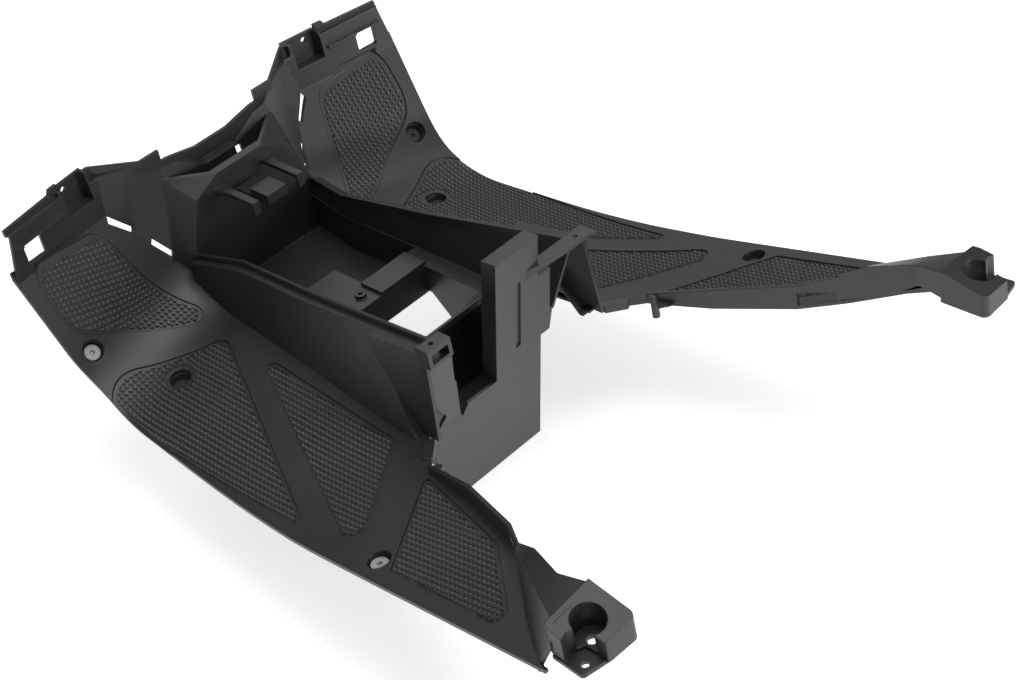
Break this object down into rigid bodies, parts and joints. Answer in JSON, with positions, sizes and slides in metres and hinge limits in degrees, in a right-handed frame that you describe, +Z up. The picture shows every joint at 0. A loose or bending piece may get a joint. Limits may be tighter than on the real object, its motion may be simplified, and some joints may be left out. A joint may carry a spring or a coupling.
{
  "type": "motor scooter floorboard",
  "caption": "Moulded scooter floorboard with banked foot platforms, a tunnel, a battery box, a front flange and rear bolt arms.",
  "frame": {"origin": "midway between the two middle floor bolts, in the plane of their seats", "axes": "+X to the rider's right, +Y forwards, +Z up along the floor bolts"},
  "size_m": [0.449, 0.6317, 0.233],
  "materials": {
    "black_plastic": "satin moulded black with a fine grain"
  },
  "bodies": {
    "root": {"floorboard": "black_plastic"}
  },
  "joints": []
}
